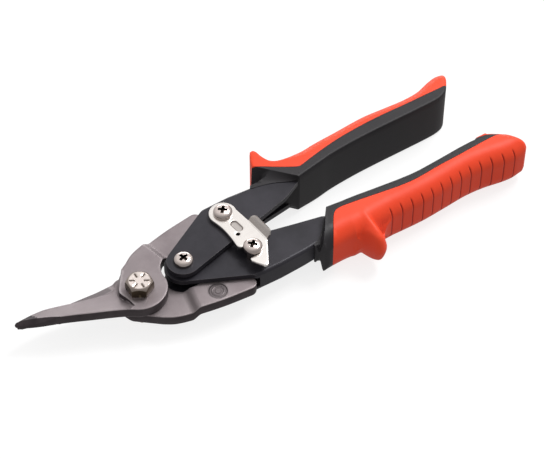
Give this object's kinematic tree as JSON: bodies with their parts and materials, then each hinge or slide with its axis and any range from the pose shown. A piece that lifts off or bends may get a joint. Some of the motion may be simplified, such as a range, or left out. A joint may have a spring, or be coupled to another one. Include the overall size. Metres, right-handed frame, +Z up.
{
  "type": "aviation snips",
  "caption": "Compound-action sheet-metal snips, closed and latched: curved jaws, lever-linked plate handles with moulded two-colour grips and a hooked latch.",
  "frame": {"origin": "on the axis of the blade pivot bolt, at the end face of its shank, on the surface the tool lies on", "axes": "+X runs along the tool from the blade pivot to the ends of the grips, +Y to the handle that carries the latch, +Z up along the pivot axes"},
  "size_m": [0.2517, 0.0771, 0.0281],
  "materials": {
    "blade_steel": "bead-blasted forged steel, ground along the cutting edges",
    "black_plate": "satin black oxide on pressed steel plate",
    "grip_core": "fine-textured black polypropylene",
    "grip_cover": "soft orange-red thermoplastic rubber, matte",
    "bolt_steel": "plated hexagon bolt, bright chamfered top",
    "screw_steel": "nickel-plated screws, nuts and washers",
    "latch_steel": "bright nickel-plated pressed latch",
    "sleeve_steel": "hardened turned sleeves and spacers",
    "spring_steel": "music wire"
  },
  "bodies": {
    "lower_handle": {"lower_handle_plate": "black_plate", "lower_grip_core": "grip_core", "lower_grip_cover": "grip_cover", "catch_screw": "screw_steel", "catch_screw_nut": "screw_steel", "lower_tail_sleeve": "sleeve_steel", "opening_spring": "spring_steel"},
    "upper_handle": {"upper_handle_plate": "black_plate", "upper_grip_core": "grip_core", "upper_grip_cover": "grip_cover", "handle_pivot_screw": "screw_steel", "handle_pivot_nut": "screw_steel", "handle_pivot_sleeve": "sleeve_steel", "handle_thrust_washers": "sleeve_steel", "latch_screw": "screw_steel", "latch_screw_nut": "screw_steel", "latch_washer": "screw_steel", "upper_tail_sleeve": "sleeve_steel", "upper_tail_spacers": "sleeve_steel"},
    "lower_blade": {"lower_blade": "blade_steel", "pivot_bolt": "bolt_steel", "pivot_washer": "bolt_steel", "pivot_lock_nut": "bolt_steel"},
    "upper_blade": {"upper_blade": "blade_steel"},
    "latch": {"latch_plate": "latch_steel"}
  },
  "joints": [
    {"name": "handle_hinge", "type": "hinge", "parent": "lower_handle", "child": "upper_handle", "pos_m": [0.0231, 0, 0.0127], "axis": [0, 0, 1], "range_deg": [0, 32]},
    {"name": "lower_blade_pivot", "type": "hinge", "parent": "lower_handle", "child": "lower_blade", "pos_m": [0.052, -0.0124, 0.0127], "axis": [0, 0, 1], "range_deg": [0, 7.5]},
    {"name": "blade_pivot", "type": "hinge", "parent": "lower_blade", "child": "upper_blade", "pos_m": [0, 0, 0.0127], "axis": [0, 0, 1], "range_deg": [0, 17.1]},
    {"name": "latch_pivot", "type": "hinge", "parent": "upper_handle", "child": "latch", "pos_m": [0.052, 0.0124, 0.0127], "axis": [0, 0, 1], "range_deg": [0, 64.1]}
  ],
  "couplings": [
    {"joint": "lower_blade_pivot", "follows": "handle_hinge", "ratio": 0.234},
    {"joint": "blade_pivot", "follows": "handle_hinge", "ratio": 0.532},
    {"joint": "latch_pivot", "follows": "handle_hinge", "ratio": 2}
  ]
}
